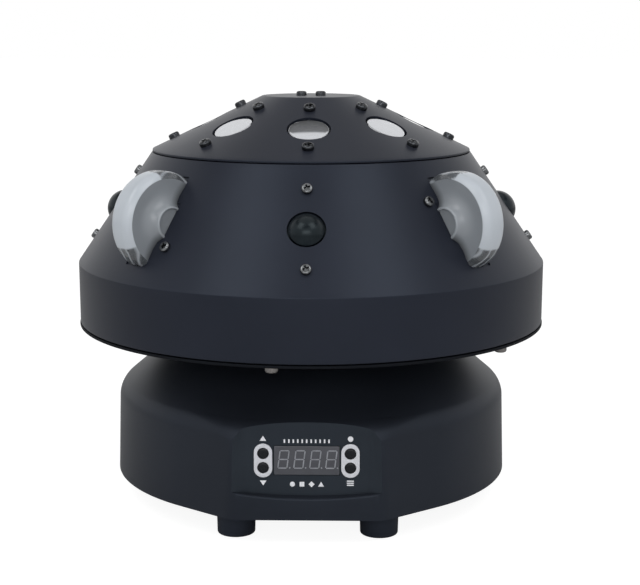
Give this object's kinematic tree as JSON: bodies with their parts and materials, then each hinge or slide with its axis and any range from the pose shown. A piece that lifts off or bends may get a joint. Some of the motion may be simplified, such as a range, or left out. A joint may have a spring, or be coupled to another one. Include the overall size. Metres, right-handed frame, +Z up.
{
  "type": "led party light",
  "caption": "Round club light: a pierced two-cone head of dome, half-wheel and flush lenses turns on a squat base with a sunken panel of digits and push buttons.",
  "frame": {"origin": "on the turning axis, in the plane of the soles of the feet", "axes": "+Z up along the turning axis, -Y out of the control panel, +X to the right of someone who faces the panel"},
  "size_m": [0.3006, 0.3006, 0.2574],
  "materials": {
    "shell": "satin black moulded plastic",
    "floor": "black powder coat",
    "head_floor": "satin black moulded plastic",
    "rubber": "matt black",
    "clear": "polished clear acrylic",
    "dark_lens": "polished smoked acrylic",
    "window": "tinted window",
    "pale": "light grey",
    "black": "black",
    "board": "green solder mask",
    "aluminium": "machined",
    "black_aluminium": "black anodised",
    "silvered": "bright reflector",
    "steel": "zinc plated",
    "nylon": "natural"
  },
  "bodies": {
    "base": {"base_housing": "shell", "base_bottom_plate": "floor", "foot_front_left": "rubber", "foot_front_right": "rubber", "foot_rear_left": "rubber", "foot_rear_right": "rubber", "display_window": "window", "display_module": "black", "control_board": "board", "button_plate_left": "pale", "button_plate_right": "pale", "power_inlet": "black", "dmx_input_socket": "black", "dmx_output_socket": "black", "power_supply": "aluminium", "main_board": "board", "spin_motor": "steel", "motor_mount": "steel", "bearing_outer_ring": "steel", "slip_ring_bracket": "steel", "slip_ring_stator": "black"},
    "head": {"head_hub": "black_aluminium", "bearing_inner_ring": "steel", "driven_gear": "nylon", "retaining_nut": "steel", "slip_ring_rotor": "pale", "head_floor_plate": "head_floor", "head_housing": "shell", "top_cap": "shell", "beam_lamp_tray": "silvered", "driver_board": "board", "beam_lens_1": "clear", "beam_lens_2": "clear", "beam_lens_3": "clear", "beam_lens_4": "clear", "beam_lens_5": "clear", "beam_lens_6": "clear", "beam_lens_7": "clear", "beam_lens_8": "clear", "dome_lens_1": "dark_lens", "dome_lamp_1": "black", "fan_lens_1": "clear", "fan_lamp_1": "aluminium", "dome_lens_2": "dark_lens", "dome_lamp_2": "black", "fan_lens_2": "clear", "fan_lamp_2": "aluminium", "dome_lens_3": "dark_lens", "dome_lamp_3": "black", "fan_lens_3": "clear", "fan_lamp_3": "aluminium", "dome_lens_4": "dark_lens", "dome_lamp_4": "black", "fan_lens_4": "clear", "fan_lamp_4": "aluminium"},
    "pinion": {"drive_pinion": "nylon"},
    "button_up": {"button_up": "black"},
    "button_down": {"button_down": "black"},
    "button_enter": {"button_enter": "black"},
    "button_menu": {"button_menu": "black"}
  },
  "joints": [
    {"name": "head_spin", "type": "hinge", "parent": "base", "child": "head", "pos_m": [0, 0, 0.0911], "axis": [0, 0, 1], "continuous": true},
    {"name": "pinion_spin", "type": "hinge", "parent": "base", "child": "pinion", "pos_m": [0, 0.06035, 0.0737], "axis": [0, 0, 1], "continuous": true},
    {"name": "button_up_press", "type": "slide", "parent": "base", "child": "button_up", "axis": [0, 1, 0], "range_m": [0, 0.0006], "stiffness_N_per_m": 1200, "springref_m": -0.0003},
    {"name": "button_down_press", "type": "slide", "parent": "base", "child": "button_down", "axis": [0, 1, 0], "range_m": [0, 0.0006], "stiffness_N_per_m": 1200, "springref_m": -0.0003},
    {"name": "button_enter_press", "type": "slide", "parent": "base", "child": "button_enter", "axis": [0, 1, 0], "range_m": [0, 0.0006], "stiffness_N_per_m": 1200, "springref_m": -0.0003},
    {"name": "button_menu_press", "type": "slide", "parent": "base", "child": "button_menu", "axis": [0, 1, 0], "range_m": [0, 0.0006], "stiffness_N_per_m": 1200, "springref_m": -0.0003}
  ],
  "couplings": [
    {"joint": "pinion_spin", "follows": "head_spin", "ratio": -4}
  ]
}
